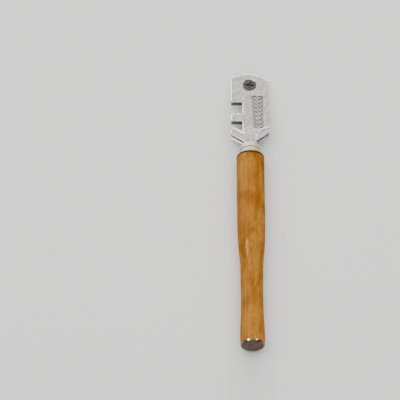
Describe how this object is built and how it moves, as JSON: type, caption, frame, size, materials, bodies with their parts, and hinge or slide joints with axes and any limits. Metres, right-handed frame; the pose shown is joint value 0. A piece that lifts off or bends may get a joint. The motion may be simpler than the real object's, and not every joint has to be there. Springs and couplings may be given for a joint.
{
  "type": "glass cutter",
  "caption": "Hand glass cutter: flat metal head with a turret of small cutting wheels, glass-breaking notches and finger rests, on a turned wooden handle.",
  "frame": {"origin": "on the surface the tool lies on, under the middle of its length and width", "axes": "+Y along the tool towards the cutting wheel, +X towards the straight edge of the head, away from the notches, +Z out of the front face"},
  "size_m": [0.0204, 0.1648, 0.0148],
  "materials": {
    "nickel_casting": "satin nickel plate over a casting, bright worn edges",
    "ferrule_metal": "satin drawn metal",
    "dark_steel": "dark burnished",
    "steel": "plain turned and stamped steel",
    "wheel_steel": "ground and hardened",
    "varnished_wood": "clear gloss varnish over yellow-brown wood, dark lacquered butt"
  },
  "bodies": {
    "cutter_body": {"head_casting": "nickel_casting", "thread_insert": "steel", "ferrule": "ferrule_metal", "wooden_handle": "varnished_wood"},
    "turret": {"turret_front_disc": "steel", "turret_rear_disc": "steel", "turret_hub": "steel", "axle_pin_1": "steel", "axle_pin_2": "steel", "axle_pin_3": "steel", "axle_pin_4": "steel", "axle_pin_5": "steel", "axle_pin_6": "steel"},
    "screw": {"clamp_screw": "dark_steel"},
    "wheel_1": {"cutting_wheel_1": "wheel_steel"},
    "wheel_2": {"cutting_wheel_2": "wheel_steel"},
    "wheel_3": {"cutting_wheel_3": "wheel_steel"},
    "wheel_4": {"cutting_wheel_4": "wheel_steel"},
    "wheel_5": {"cutting_wheel_5": "wheel_steel"},
    "wheel_6": {"cutting_wheel_6": "wheel_steel"}
  },
  "joints": [
    {"name": "screw_turn", "type": "hinge", "parent": "cutter_body", "child": "screw", "pos_m": [0, 0.0744, 0.0074], "axis": [0, 0, 1], "range_deg": [0, 360]},
    {"name": "turret_index", "type": "hinge", "parent": "cutter_body", "child": "turret", "pos_m": [0, 0.0744, 0.0074], "axis": [0, 0, 1], "continuous": true},
    {"name": "wheel_1_spin", "type": "hinge", "parent": "turret", "child": "wheel_1", "pos_m": [0, 0.0799, 0.0074], "axis": [0, 0, 1], "continuous": true},
    {"name": "wheel_2_spin", "type": "hinge", "parent": "turret", "child": "wheel_2", "pos_m": [-0.00476, 0.07715, 0.0074], "axis": [0, 0, 1], "continuous": true},
    {"name": "wheel_3_spin", "type": "hinge", "parent": "turret", "child": "wheel_3", "pos_m": [-0.00476, 0.07165, 0.0074], "axis": [0, 0, 1], "continuous": true},
    {"name": "wheel_4_spin", "type": "hinge", "parent": "turret", "child": "wheel_4", "pos_m": [0, 0.0689, 0.0074], "axis": [0, 0, 1], "continuous": true},
    {"name": "wheel_5_spin", "type": "hinge", "parent": "turret", "child": "wheel_5", "pos_m": [0.00476, 0.07165, 0.0074], "axis": [0, 0, 1], "continuous": true},
    {"name": "wheel_6_spin", "type": "hinge", "parent": "turret", "child": "wheel_6", "pos_m": [0.00476, 0.07715, 0.0074], "axis": [0, 0, 1], "continuous": true}
  ]
}
